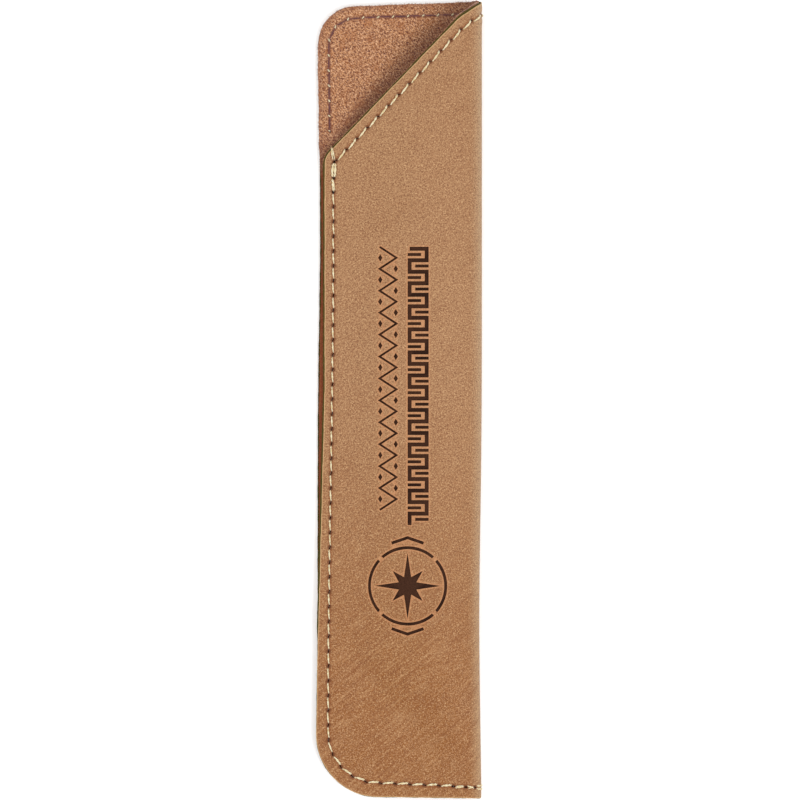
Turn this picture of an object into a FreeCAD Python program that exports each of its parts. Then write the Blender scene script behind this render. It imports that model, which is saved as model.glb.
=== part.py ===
import FreeCAD, Part
import math
import os

# A slim sewn sleeve for one fountain pen, lying on its back with the mouth towards +Y.
# One laminated blank (face skin, dark core, suede lining) is folded along the right-hand
# edge (+X), sewn along the left-hand edge (-X) and along the bottom (-Y).  The front panel
# has a slanted mouth, and the back panel runs on past it as a rounded flap.
# Units are millimetres, +Z is up, and Z = 0 is the surface that the sleeve lies on.

Vec = FreeCAD.Vector

# ---- driving dimensions ------------------------------------------------------------------
LENGTH = 158.8             # bottom edge to the top of the flap
FOLD_X = 16.35             # the folded edge
SEAM_X = -16.40            # the cut edges beside the side seam
SKIN = 0.25                # face skin of the leatherette
CORE = 0.35                # dark layer under it
LINING = 0.60              # suede lining
WALL = SKIN + CORE + LINING
SEAM_GAP = 0.06            # between the two linings where they are sewn together

CROWN = 5.2                # how far the front panel stands off the back one
CROWN_POWER = 1.25         # how the crown runs out towards the side seam
CROWN_PEAK = 0.351         # height of the plain crown curve, which scales it to 1
FOLD_BEND = 3.0            # how far the curve of the fold reaches into the back panel
END_CROWN = 0.7            # what stays of the crown beside the fold at the bottom seam
END_BEND = 1.5
END_CHORD = 8.0            # width of that last opening at the bottom seam
CLOSING = 35.0             # length over which the pocket closes towards the bottom seam
NOSE_SPREAD = 2.5          # softness of the sheet's measure around the fold

EDGE_LIFT = 0.50           # the sewn edges hang clear of the table by this much
BELLY = 0.07               # the middle of the back is pressed flat by this much
LIFT_FULL = 3.0            # distance from an edge where the lift is whole
LIFT_FADE = 6.0            # distance over which it fades

BOTTOM_SEAM_Y = -77.1
BOTTOM_LEFT_Y = -79.0      # bottom edge at the rounded corner
BOTTOM_CORNER = 12.4       # radius of the bottom corner
BOTTOM_SEAM_CORNER = 9.8   # radius of the seam inside it
TOP_LEFT_Y = 78.5          # top edge of the flap at its rounded corner
TOP_CORNER = 7.6           # radius of the flap's corner

MOUTH_LOW = (-15.15, 48.5)      # the slanted mouth's low end, before it is rounded
MOUTH_BEND = (11.85, 76.3)      # where the slant eases towards the fold
MOUTH_FOLD = (16.45, 79.2)      # the mouth's edge on the fold
MOUTH_LOW_RADIUS = 4.0
MOUTH_BEND_RADIUS = 9.0
FRONT_EDGE_LOW = (-16.62, -46.0)   # the front's cut edge draws back from the back's here
FRONT_EDGE_HIGH = (-15.15, 2.0)    # and stays this far in from here up

THREAD = 0.38              # diameter of the sewing thread
HOLE = 0.90                # needle hole, opened by the two strands in it
SIDE_PITCH = 2.93
HEM_PITCH = 3.02
STRAND = 0.21              # half the distance between two strands in one hole
SLANT = 0.07               # sideways step of a strand, which tilts the stitch
HEM_INSET = 2.2            # hem stitches from the mouth's edge
FLAP_INSET_TOP = 2.3       # hem stitches from the flap's top edge
FLAP_INSET_SIDE = 2.1
FLAP_SEAM_CORNER = 5.2

# grid that the folded sheet is laid out on
ACROSS = 61
ALONG = 73
OVERHANG = 2.6             # how far the untrimmed sheet reaches past the outline
CLEAR = 14.0               # tall enough to pass through everything


# ---- small helpers -----------------------------------------------------------------------
def ease(r):
    """0 before 0, 1 after 1, and smooth between."""
    r = min(max(r, 0.0), 1.0)
    return r * r * (3 - 2 * r)


def bell(y, middle, spread):
    return math.exp(-((y - middle) / spread) ** 2)


def fold_x(y):
    """The folded edge, drawn in a little below the middle."""
    return FOLD_X - 0.50 * bell(y, -44.0, 28.0)


def seam_x(y):
    """The sewn edge, drawn in beside the mouth and full at the bottom."""
    return SEAM_X + 0.50 * bell(y, 34.0, 26.0) - 0.33 * bell(y, -70.0, 14.0)


def stitch_x(y):
    """The line of the side seam, which nears the edge towards the bottom."""
    return -13.25 - 1.05 * ease((30.0 - y) / 94.0)


def top_y(x):
    """The flap's top edge, which rises towards the fold."""
    return TOP_LEFT_Y + (x + 8.7) * (LENGTH / 2 - TOP_LEFT_Y) / (FOLD_X + 8.7)


def bottom_y(x):
    return BOTTOM_LEFT_Y - (x + 4.2) * (LENGTH / 2 + BOTTOM_LEFT_Y) / (FOLD_X + 4.2)


def pocket(y):
    """0 at the bottom seam and 1 where the pocket is fully open."""
    return ease((y - BOTTOM_SEAM_Y) / CLOSING)


def lift(x, y):
    """Height of the underside: raised along the sewn and cut edges."""
    low = 1.0
    for d in (x - seam_x(y), y - bottom_y(x), top_y(x) - y):
        low *= ease((d - LIFT_FULL) / LIFT_FADE)
    return EDGE_LIFT * (1 - low) - BELLY


def section(y):
    """Crown height, bend length, chord of the crown and nose height at one station."""
    p = pocket(y)
    crown = END_CROWN + (CROWN - END_CROWN) * p
    bend = END_BEND + (FOLD_BEND - END_BEND) * p
    full = fold_x(y) - stitch_x(y) - 0.4
    chord = END_CHORD + (full - END_CHORD) * p
    nose = WALL + SEAM_GAP / 2 + crown / (2 * CROWN_PEAK) * math.sqrt(bend / (2 * chord))
    return crown, bend, chord, nose


def outer(s, y):
    """The sleeve's outer face at blank coordinate s: 0 on the fold, + front, - back."""
    crown, bend, chord, nose = section(y)
    reach = math.sqrt(s * s + NOSE_SPREAD ** 2) - NOSE_SPREAD
    x = fold_x(y) - reach
    r = min(reach / bend, 1.0)
    round_fold = math.sqrt(r * (2 - r))
    base = lift(x, y)
    if s < 0:
        return Vec(x, y, base + nose * (1 - round_fold))
    t = min(reach / chord, 1.0)
    bulge = crown * math.sqrt(t) * (1 - t) ** CROWN_POWER / CROWN_PEAK
    z = base + nose + (2 * WALL + SEAM_GAP - nose) * round_fold + bulge
    return Vec(x, y, z)


def sheet_point(s, y, depth):
    """A point of the laminate, depth millimetres in from its outer face."""
    step = 0.02
    a = outer(s - step, y)
    b = outer(s + step, y)
    inward = Vec(-(b.z - a.z), 0, b.x - a.x)
    inward.normalize()
    return outer(s, y) + inward * depth


def blank_s(x, y, side):
    """Blank coordinate of plan position x on the front (+1) or the back (-1)."""
    reach = max(fold_x(y) - x, 0.0)
    return side * math.sqrt((reach + NOSE_SPREAD) ** 2 - NOSE_SPREAD ** 2)


# ---- the laminate's layers ---------------------------------------------------------------
def layer_face(depth):
    """One surface of the laminate, as a smooth face over the whole untrimmed blank."""
    rows = []
    for i in range(ALONG):
        y = (LENGTH / 2 + OVERHANG) * (2 * i / (ALONG - 1) - 1)
        widest = blank_s(SEAM_X - OVERHANG, y, 1)
        rows.append([sheet_point(widest * (2 * j / (ACROSS - 1) - 1), y, depth)
                     for j in range(ACROSS)])
    surface = Part.BSplineSurface()
    surface.interpolate(rows)
    return surface.toShape()


def closed_layer(upper, lower):
    """The solid between two surfaces of the laminate, closed round its four edges."""
    faces = [upper, lower]
    for a, b in zip(upper.Edges, lower.Edges):
        a0, a1 = a.Vertexes[0].Point, a.Vertexes[-1].Point
        b0, b1 = b.Vertexes[0].Point, b.Vertexes[-1].Point
        if abs(a0.y - a1.y) > 1:
            faces.append(Part.makeRuledSurface(a, b))
            continue
        ends = [Part.LineSegment(a0, b0).toShape(), Part.LineSegment(a1, b1).toShape()]
        faces.append(Part.Face(Part.Wire(Part.sortEdges([a, b] + ends)[0])))
    skin = Part.Compound(faces)
    skin.sewShape(1e-4)
    solid = Part.Solid(skin.Shells[0])
    if solid.Volume < 0:
        solid.reverse()
    return solid


def rounded(points):
    """A closed wire through (x, y, radius) corners."""
    edges = []
    joints = []
    count = len(points)
    for i in range(count):
        x, y, r = points[i]
        p = Vec(x, y, 0)
        before = Vec(points[i - 1][0], points[i - 1][1], 0) - p
        after = Vec(points[(i + 1) % count][0], points[(i + 1) % count][1], 0) - p
        before.normalize()
        after.normalize()
        if r == 0:
            joints.append((p, p, p))
            continue
        half = before.getAngle(after) / 2
        cut = r / math.tan(half)
        middle = (before + after).normalize()
        mid = p + middle * (r / math.sin(half) - r)
        joints.append((p + before * cut, mid, p + after * cut))
    for i in range(count):
        start, mid, end = joints[i]
        if (end - start).Length > 0:
            edges.append(Part.Arc(start, mid, end).toShape())
        edges.append(Part.LineSegment(end, joints[(i + 1) % count][0]).toShape())
    return Part.Wire(edges)


def prism(wire, z0, z1):
    face = Part.Face(wire)
    face.translate(Vec(0, 0, z0))
    return face.extrude(Vec(0, 0, z1 - z0))


def blank_outline():
    """Plan outline of the folded sleeve; its right-hand side runs clear of the fold."""
    low = BOTTOM_LEFT_Y + BOTTOM_CORNER
    high = TOP_LEFT_Y - TOP_CORNER
    heights = [low + (high - low) * i / 8 for i in range(9)]
    side = Part.BSplineCurve()
    side.interpolate([Vec(seam_x(y), y, 0) for y in heights])
    a = Vec(seam_x(low), low, 0)
    b = Vec(seam_x(high), high, 0)
    bottom = Vec(a.x + BOTTOM_CORNER, BOTTOM_LEFT_Y, 0)
    top = Vec(b.x + TOP_CORNER, TOP_LEFT_Y, 0)
    diagonal = math.sqrt(0.5)
    low_mid = a + Vec(BOTTOM_CORNER * (1 - diagonal), -BOTTOM_CORNER * diagonal, 0)
    high_mid = b + Vec(TOP_CORNER * (1 - diagonal), TOP_CORNER * diagonal, 0)
    right = FOLD_X + OVERHANG
    corner = Vec(right, bottom_y(right), 0)
    far = Vec(right, top_y(right), 0)
    return Part.Wire([
        side.toShape(),
        Part.Arc(b, high_mid, top).toShape(),
        Part.LineSegment(top, far).toShape(),
        Part.LineSegment(far, corner).toShape(),
        Part.LineSegment(corner, bottom).toShape(),
        Part.Arc(bottom, low_mid, a).toShape(),
    ])


def mouth_cutter():
    """What the front panel lacks of the blank: the slanted mouth and its drawn-back edge."""
    slope = (MOUTH_FOLD[1] - MOUTH_BEND[1]) / (MOUTH_FOLD[0] - MOUTH_BEND[0])
    right = FOLD_X + OVERHANG
    left = SEAM_X - OVERHANG
    over = LENGTH / 2 + OVERHANG
    plan = rounded([
        (left, FRONT_EDGE_LOW[1], 0),
        (FRONT_EDGE_LOW[0], FRONT_EDGE_LOW[1], 0),
        (FRONT_EDGE_HIGH[0], FRONT_EDGE_HIGH[1], 0),
        (MOUTH_LOW[0], MOUTH_LOW[1], MOUTH_LOW_RADIUS),
        (MOUTH_BEND[0], MOUTH_BEND[1], MOUTH_BEND_RADIUS),
        (right, MOUTH_FOLD[1] + slope * (right - MOUTH_FOLD[0]), 0),
        (right, over, 0),
        (left, over, 0),
    ])
    rows = []
    for i in range(ALONG):
        y = (LENGTH / 2 + 2 * OVERHANG) * (2 * i / (ALONG - 1) - 1)
        nose = section(y)[3]
        row = []
        for j in range(25):
            x = (FOLD_X + 2 * OVERHANG) * (2 * j / 24 - 1)
            between = WALL + SEAM_GAP / 2
            between += (nose - between) * ease((x + 4.0) / 14.0)
            row.append(Vec(x, y, lift(min(x, fold_x(y)), y) + between))
        rows.append(row)
    surface = Part.BSplineSurface()
    surface.interpolate(rows)
    above = surface.toShape().extrude(Vec(0, 0, CLEAR))
    return prism(plan, -1, CLEAR).common(above)


# ---- seam lines, as needle holes in blank coordinates --------------------------------------
def spaced(route, pitch):
    """Points at an even pitch along a polyline of (s, y) points, both ends included."""
    steps = [math.dist(a, b) for a, b in zip(route, route[1:])]
    total = sum(steps)
    count = max(1, round(total / pitch))
    holes = [route[0]]
    gone = 0.0
    target = total / count
    for (a, b), step in zip(zip(route, route[1:]), steps):
        while len(holes) < count and gone + step >= target * len(holes):
            r = (target * len(holes) - gone) / step
            holes.append((a[0] + (b[0] - a[0]) * r, a[1] + (b[1] - a[1]) * r))
        gone += step
    holes.append(route[-1])
    return holes


def arc_points(cx, cy, radius, start, end, count):
    """Plan points along an arc, angles in degrees."""
    points = []
    for i in range(count + 1):
        a = math.radians(start + (end - start) * i / count)
        points.append((cx + radius * math.cos(a), cy + radius * math.sin(a)))
    return points


def side_seam_holes():
    """From below the top back-tack down the side, round the corner and along the bottom."""
    corner_y = BOTTOM_LEFT_Y + BOTTOM_CORNER
    corner_x = stitch_x(corner_y) + BOTTOM_SEAM_CORNER
    plan = [(stitch_x(y), y) for y in [BACKTACK_TOP[-1][1] - 2 * i for i in range(54)]
            if y > corner_y]
    plan += arc_points(corner_x, corner_y, BOTTOM_SEAM_CORNER, 180, 262, 12)
    plan.append(BACKTACK_BOTTOM[0])
    return spaced([(blank_s(x, y, 1), y) for x, y in plan], SIDE_PITCH)


def hem_route():
    """Front: up beside the slanted mouth to the fold.  Back: along the flap and down it."""
    slant = math.atan2(MOUTH_BEND[1] - MOUTH_LOW[1], MOUTH_BEND[0] - MOUTH_LOW[0])
    dx = HEM_INSET * math.sin(slant)
    dy = -HEM_INSET * math.cos(slant)
    start_x = stitch_x(47.0) + 0.45
    start = (start_x, MOUTH_LOW[1] + dy + (start_x - MOUTH_LOW[0] - dx) * math.tan(slant))
    bend = (MOUTH_BEND[0] + dx * 0.9, MOUTH_BEND[1] + dy * 0.9)
    fold = (FOLD_X, MOUTH_FOLD[1] - 2.5)
    front = []
    for a, b in ((start, bend), (bend, fold)):
        for i in range(12):
            x = a[0] + (b[0] - a[0]) * i / 12
            y = a[1] + (b[1] - a[1]) * i / 12
            front.append((blank_s(x, y, 1), y))
    high = TOP_LEFT_Y - FLAP_INSET_TOP - FLAP_SEAM_CORNER
    left = seam_x(high) + FLAP_INSET_SIDE + FLAP_SEAM_CORNER
    back = [(x, top_y(x) - FLAP_INSET_TOP) for x in (FOLD_X, 14.0, 10.0, 4.0, -3.0)]
    back += arc_points(left, high, FLAP_SEAM_CORNER, 90, 180, 8)
    back += [(seam_x(y) + FLAP_INSET_SIDE, y) for y in (66.0, 60.0, 53.6)]
    return front + [(blank_s(x, y, -1), y) for x, y in back]


# hole centres of the two back-tacks, plan positions on the front panel
BACKTACK_TOP = [(-13.75, 50.9), (-13.15, 47.4), (-13.25, 44.3), (-13.30, 41.5)]
BACKTACK_BOTTOM = [(10.6, -77.0), (13.1, -77.15), (15.0, -77.2)]


# ---- stitches ----------------------------------------------------------------------------
def stitch(a, b, face_depth, outward, leg, shift=0.0, samples=3):
    """One stitch from hole a to hole b, both (s, y): a strand that comes up out of one
    hole, lies along the sheet and goes down the other.  face_depth is the depth of the
    face that it lies on, outward is -1 on the outer face and +1 on the lining, and leg is
    how far it reaches into the holes.  shift moves it sideways."""
    length = math.dist(a, b)
    along = ((b[0] - a[0]) / length, (b[1] - a[1]) / length)
    across = (-along[1], along[0])
    radius = THREAD / 2

    def at(distance, side, height):
        s = a[0] + along[0] * distance + across[0] * side
        y = a[1] + along[1] * distance + across[1] * side
        return sheet_point(s, y, face_depth + outward * height)

    near = STRAND
    far = length - STRAND
    line = [at(near, shift + SLANT, -leg), at(near, shift + SLANT, -0.10)]
    line.append(at(near + 0.08, shift + SLANT, 0.09))
    for i in range(samples + 2):
        r = i / (samples + 1)
        distance = near + 0.26 + (far - near - 0.52) * r
        line.append(at(distance, shift + SLANT * (1 - 2 * r), radius))
    line.append(at(far - 0.08, shift - SLANT, 0.09))
    line += [at(far, shift - SLANT, -0.10), at(far, shift - SLANT, -leg)]
    return tube(line)


def tube(line):
    """A round strand of thread along a short line of points."""
    rings = []
    side = None
    for i, p in enumerate(line):
        forward = line[min(i + 1, len(line) - 1)] - line[max(i - 1, 0)]
        forward.normalize()
        if side is None:
            side = forward.cross(Vec(0.3, 0.9, 0.2)).normalize()
        side = (side - forward * side.dot(forward)).normalize()
        ring = Part.makeCircle(THREAD / 2)
        turn = FreeCAD.Rotation(side, forward.cross(side), forward, "ZXY")
        ring.Placement = FreeCAD.Placement(p, turn)
        rings.append(Part.Wire(ring))
    return Part.makeLoft(rings, True, True)


def needle_hole(s, y, through_both):
    """A round punch through the sheet at blank position (s, y)."""
    if through_both:
        centre = outer(s, y)
        return Part.makeCylinder(HOLE / 2, CLEAR, Vec(centre.x, centre.y, -1))
    start = sheet_point(s, y, -0.8)
    end = sheet_point(s, y, WALL + SEAM_GAP / 2)
    return Part.makeCylinder(HOLE / 2, (end - start).Length, start, end - start)


# ---- engraving: plain ornament in place of lettering ---------------------------------------
ROW_BOLD = (1.5, 30.5, 4.2, 55.8)        # left, top, width, length of the bold border
ROW_LIGHT = (-4.5, 30.5, 4.2, 52.4)      # and of the light one
EMBLEM = (1.5, -37.0)                    # centre of the compass rose
BAYS = 12
BOLD_STROKE = 0.80
LIGHT_STROKE = 0.42
BAR = 0.60                               # width of the bars, the ring and the chevrons
BAR_GAP = 0.70                           # between a bar's end and the line round its bay
LOZENGE = (0.9, 1.5)
LOZENGE_INSET = 0.55                     # middle of a lozenge from the border's side
RING = 7.9
BRIDGE = 0.9                             # the ring is left unburnt this wide, four times
STAR_LONG = 6.6                          # long points, short points and waist of the star
STAR_SHORT = 4.3
STAR_WAIST = 1.9
CHEVRON = ((-3.2, 8.5), (0.0, 9.6), (3.2, 8.5))
BURN_FLOOR = 3.0                         # above the back panel, below the front's skin
TACK_SPREAD = 0.2                        # the doubled strands stand this far to each side


def stroke(points, width):
    """The outline of a line of constant width along a polyline, with mitred corners."""
    left = []
    right = []
    count = len(points)
    for i in range(count):
        a = Vec(*points[max(i - 1, 0)], 0)
        p = Vec(*points[i], 0)
        b = Vec(*points[min(i + 1, count - 1)], 0)
        first = (p - a) if i else (b - p)
        second = (b - p) if i < count - 1 else first
        n1 = Vec(-first.y, first.x, 0).normalize()
        n2 = Vec(-second.y, second.x, 0).normalize()
        mitre = (n1 + n2).normalize()
        reach = width / 2 / mitre.dot(n1)
        left.append(p + mitre * reach)
        right.append(p - mitre * reach)
    return Part.makePolygon(left + right[::-1] + [left[0]])


def block(cx, cy, wide, tall):
    x0, x1, y0, y1 = cx - wide / 2, cx + wide / 2, cy - tall / 2, cy + tall / 2
    return Part.makePolygon([Vec(x0, y0, 0), Vec(x1, y0, 0), Vec(x1, y1, 0), Vec(x0, y1, 0),
                             Vec(x0, y0, 0)])


def lozenge(cx, cy, wide, tall):
    return Part.makePolygon([Vec(cx - wide / 2, cy, 0), Vec(cx, cy - tall / 2, 0),
                             Vec(cx + wide / 2, cy, 0), Vec(cx, cy + tall / 2, 0),
                             Vec(cx - wide / 2, cy, 0)])


def bold_border():
    """A battlement line with a bar standing in each bay."""
    left, top, wide, length = ROW_BOLD
    inset = BOLD_STROKE / 2
    x0 = left + inset
    x1 = left + wide - inset
    half = (length - BOLD_STROKE) / (2 * BAYS)
    line = [(x0, top - inset)]
    for i in range(2 * BAYS):
        x = (x1, x0)[i % 2]
        line += [(x, top - inset - half * i), (x, top - inset - half * (i + 1))]
    shapes = [stroke(line, BOLD_STROKE)]
    bar = wide - BOLD_STROKE - BAR_GAP
    for i in range(2 * BAYS):
        x = (left + bar / 2, left + wide - bar / 2)[i % 2]
        shapes.append(block(x, top - inset - half * (i + 0.5), bar, BAR))
    return shapes


def light_border():
    """A fine zigzag with a small lozenge in each bay."""
    left, top, wide, length = ROW_LIGHT
    x0 = left + LIGHT_STROKE
    x1 = left + wide - LIGHT_STROKE
    half = length / (2 * BAYS)
    line = [((x0, x1)[i % 2], top - half * i) for i in range(2 * BAYS + 1)]
    shapes = [stroke(line, LIGHT_STROKE)]
    for i in range(1, 2 * BAYS):
        x = (left + wide - LOZENGE_INSET, left + LOZENGE_INSET)[i % 2]
        shapes.append(lozenge(x, top - half * i, *LOZENGE))
    return shapes


def compass_rose():
    """An eight-pointed star, and a chevron above and below it."""
    cx, cy = EMBLEM
    points = []
    for i in range(16):
        reach = (STAR_LONG, STAR_WAIST, STAR_SHORT, STAR_WAIST)[i % 4]
        a = math.radians(90 + 22.5 * i)
        points.append(Vec(cx + reach * math.cos(a), cy + reach * math.sin(a), 0))
    star = Part.makePolygon(points + [points[0]])
    shapes = [star]
    for side in (1, -1):
        line = [(cx + x, cy + side * y) for x, y in CHEVRON]
        shapes.append(stroke(line, BAR))
    return shapes


def engraving_cutter():
    """Everything that is burnt through the skin of the front panel."""
    tools = [prism(w, BURN_FLOOR, CLEAR)
             for w in bold_border() + light_border() + compass_rose()]
    cx, cy = EMBLEM
    rings = [Part.Wire(Part.makeCircle(r, Vec(cx, cy, 0))) for r in (RING, RING - BAR)]
    ring = Part.Face(rings[0]).cut(Part.Face(rings[1]))
    for turn in (45, 135):
        bridge = Part.Face(block(cx, cy, BRIDGE, 3 * RING))
        bridge.rotate(Vec(cx, cy, 0), Vec(0, 0, 1), turn)
        ring = ring.cut(bridge)
    ring.translate(Vec(0, 0, BURN_FLOOR))
    return tools + [arc.extrude(Vec(0, 0, CLEAR - BURN_FLOOR)) for arc in ring.Faces]


# ---- assembly ----------------------------------------------------------------------------
def save(name, shapes):
    if not isinstance(shapes, list):
        shapes = [shapes]
    solids = [s for shape in shapes for s in shape.Solids]
    group = Part.Compound(solids)
    group.exportStep("parts/" + name + ".step")
    box = group.BoundBox
    valid = all(s.isValid() for s in solids)
    print(f"{name}: {len(solids)} solids, valid {valid}, {group.Volume:.1f} mm3, "
          f"x {box.XMin:.2f} {box.XMax:.2f}, y {box.YMin:.2f} {box.YMax:.2f}, "
          f"z {box.ZMin:.2f} {box.ZMax:.2f}")


os.makedirs("parts", exist_ok=True)

seam_holes = side_seam_holes()
hem_holes = spaced(hem_route(), HEM_PITCH)
top_tack = [(blank_s(x, y, 1), y) for x, y in BACKTACK_TOP]
bottom_tack = [(blank_s(x, y, 1), y) for x, y in BACKTACK_BOTTOM]

seam_punches = [needle_hole(s, y, True)
                for s, y in seam_holes + top_tack[:-1] + bottom_tack[1:]]
hem_punches = [needle_hole(s, y, False) for s, y in hem_holes]

outline = prism(blank_outline(), -1, CLEAR)
mouth = mouth_cutter()
table = Part.makeBox(4 * FOLD_X, LENGTH + CLEAR, CLEAR,
                     Vec(-2 * FOLD_X, -(LENGTH + CLEAR) / 2, -CLEAR))
depths = [0, SKIN, SKIN + CORE, WALL]
surfaces = [layer_face(d) for d in depths]
layers = {}
for name, upper, lower in zip(("outer_leatherette", "dark_core", "suede_lining"),
                              surfaces, surfaces[1:]):
    trimmed = closed_layer(upper, lower).common(outline).cut(table).cut(mouth)
    layers[name] = trimmed.cut(seam_punches).cut(hem_punches)
layers["outer_leatherette"] = layers["outer_leatherette"].cut(engraving_cutter())
for name, layer in layers.items():
    save(name, layer)

half_seam = WALL + SEAM_GAP / 2 - 0.04
half_hem = WALL / 2 - 0.02
back = [(-s, y) for s, y in seam_holes]
pairs = list(zip(seam_holes, seam_holes[1:]))
save("side_seam_needle_thread", [stitch(a, b, 0, -1, half_seam) for a, b in pairs])
save("side_seam_bobbin_thread",
     [stitch(a, b, 0, -1, half_seam) for a, b in zip(back, back[1:])])

hem_pairs = list(zip(hem_holes, hem_holes[1:]))
save("mouth_needle_thread",
     [stitch(a, b, 0, -1, half_hem, samples=5) for a, b in hem_pairs])
save("mouth_bobbin_thread",
     [stitch(a, b, WALL, 1, half_hem, samples=5) for a, b in hem_pairs[1:]])



def doubled(a, b, samples=3):
    return [stitch(a, b, 0, -1, half_seam, shift, samples)
            for shift in (-TACK_SPREAD, TACK_SPREAD)]


save("seam_top_backtack",
     [turn for a, b in zip(top_tack, top_tack[1:]) for turn in doubled(a, b)])
last = bottom_tack[-1]
save("seam_bottom_backtack",
     [turn for a, b in zip(bottom_tack, bottom_tack[1:]) for turn in doubled(a, b)]
     + doubled(last, (-last[0], last[1]), samples=9))
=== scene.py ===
# %% [markdown]
# # A sewn sleeve for one fountain pen
# The real sleeve is one flat blank of laminated leatherette: a thin face skin, a dark core and a
# suede lining.  It is cut and burnt while flat, folded down its middle and sewn.
# We make it in that order.  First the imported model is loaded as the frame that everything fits.

# %% Load the frame
import bpy
import math
import numpy as np
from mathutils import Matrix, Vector


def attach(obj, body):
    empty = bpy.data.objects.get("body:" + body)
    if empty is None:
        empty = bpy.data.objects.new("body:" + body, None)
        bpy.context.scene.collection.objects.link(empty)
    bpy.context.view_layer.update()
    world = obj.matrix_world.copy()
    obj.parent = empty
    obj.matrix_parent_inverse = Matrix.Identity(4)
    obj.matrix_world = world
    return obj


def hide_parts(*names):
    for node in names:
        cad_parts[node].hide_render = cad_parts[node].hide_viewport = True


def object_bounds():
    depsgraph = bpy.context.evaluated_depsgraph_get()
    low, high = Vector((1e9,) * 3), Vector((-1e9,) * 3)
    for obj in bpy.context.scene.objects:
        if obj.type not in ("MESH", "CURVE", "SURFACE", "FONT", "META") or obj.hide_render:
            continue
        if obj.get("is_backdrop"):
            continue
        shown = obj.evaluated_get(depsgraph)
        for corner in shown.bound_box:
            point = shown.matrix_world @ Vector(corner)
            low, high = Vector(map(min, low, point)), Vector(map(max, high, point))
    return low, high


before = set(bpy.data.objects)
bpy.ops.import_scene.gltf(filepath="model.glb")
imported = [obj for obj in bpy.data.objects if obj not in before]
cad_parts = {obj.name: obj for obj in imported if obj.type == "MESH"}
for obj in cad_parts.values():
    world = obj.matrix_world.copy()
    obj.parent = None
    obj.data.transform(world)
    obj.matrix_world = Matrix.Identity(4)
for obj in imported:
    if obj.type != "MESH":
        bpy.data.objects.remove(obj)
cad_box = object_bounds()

MM = 0.001
UV_MM = 160.0    # the flat UV map is this many millimetres across
print("nodes:", sorted(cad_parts))
print("size in mm:", [round((b - a) / MM, 2) for a, b in zip(*cad_box)])

# %% [markdown]
# ## The shape that the blank is folded to
# A folded sheet is easiest to describe by two numbers that are printed on it, like a map: `s`, the
# distance from the fold (plus on the front panel, minus on the back), and `y`, the distance along.
# The functions below say where each such point ends up.  They are the same ones as in the CAD
# source, written for whole arrays of points, so that the sheets land on the CAD parts.

# %% Sizes of the sleeve, in millimetres
LENGTH, FOLD_X, SEAM_X = 158.8, 16.35, -16.40
SKIN, CORE, LINING, SEAM_GAP = 0.25, 0.35, 0.60, 0.06
WALL = SKIN + CORE + LINING
CROWN, CROWN_POWER, CROWN_PEAK, FOLD_BEND = 5.2, 1.25, 0.351, 3.0
END_CROWN, END_BEND, END_CHORD, CLOSING, NOSE_SPREAD = 0.7, 1.5, 8.0, 35.0, 2.5
EDGE_LIFT, BELLY, LIFT_FULL, LIFT_FADE = 0.50, 0.07, 3.0, 6.0
BOTTOM_SEAM_Y, BOTTOM_LEFT_Y, BOTTOM_CORNER, BOTTOM_SEAM_CORNER = -77.1, -79.0, 12.4, 9.8
TOP_LEFT_Y, TOP_CORNER = 78.5, 7.6
TABLE = 0.006    # the height of the lowest face, just clear of the table


def ease(r):
    r = np.clip(r, 0.0, 1.0)
    return r * r * (3 - 2 * r)


def bell(y, middle, spread):
    return np.exp(-((y - middle) / spread) ** 2)


def fold_x(y):
    return FOLD_X - 0.50 * bell(y, -44.0, 28.0)


def seam_x(y):
    return SEAM_X + 0.50 * bell(y, 34.0, 26.0) - 0.33 * bell(y, -70.0, 14.0)


def stitch_x(y):
    return -13.25 - 1.05 * ease((30.0 - y) / 94.0)


def top_y(x):
    return TOP_LEFT_Y + (x + 8.7) * (LENGTH / 2 - TOP_LEFT_Y) / (FOLD_X + 8.7)


def bottom_y(x):
    return BOTTOM_LEFT_Y - (x + 4.2) * (LENGTH / 2 + BOTTOM_LEFT_Y) / (FOLD_X + 4.2)


# %% Where a point of the blank goes when it is folded
def lift(x, y):
    """Height of the underside: the sewn edges hang a little clear of the table."""
    low = 1.0
    for d in (x - seam_x(y), y - bottom_y(x), top_y(x) - y):
        low = low * ease((d - LIFT_FULL) / LIFT_FADE)
    return EDGE_LIFT * (1 - low) - BELLY


def outer(s, y):
    """x and z of the sleeve's outer face."""
    p = ease((y - BOTTOM_SEAM_Y) / CLOSING)
    crown = END_CROWN + (CROWN - END_CROWN) * p
    bend = END_BEND + (FOLD_BEND - END_BEND) * p
    chord = END_CHORD + (fold_x(y) - stitch_x(y) - 0.4 - END_CHORD) * p
    nose = WALL + SEAM_GAP / 2 + crown / (2 * CROWN_PEAK) * np.sqrt(bend / (2 * chord))
    reach = np.sqrt(s * s + NOSE_SPREAD ** 2) - NOSE_SPREAD
    x = fold_x(y) - reach
    r = np.clip(reach / bend, 0.0, 1.0)
    round_fold = np.sqrt(r * (2 - r))
    t = np.clip(reach / chord, 0.0, 1.0)
    bulge = crown * np.sqrt(t) * (1 - t) ** CROWN_POWER / CROWN_PEAK
    front = nose + (2 * WALL + SEAM_GAP - nose) * round_fold + bulge
    back = nose * (1 - round_fold)
    return x, lift(x, y) + np.where(s < 0, back, front)


def folded(s, y, depth):
    """x, y and z of a point that lies depth millimetres in from the outer face.  What would
    sink into the table is pressed flat on it."""
    step = 0.02
    ax, az = outer(s - step, y)
    bx, bz = outer(s + step, y)
    size = np.hypot(bx - ax, bz - az)
    x, z = outer(s, y)
    z = z + depth * (bx - ax) / size
    return np.stack([x - depth * (bz - az) / size, y + 0 * z, np.maximum(z, TABLE)], axis=-1)


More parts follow.
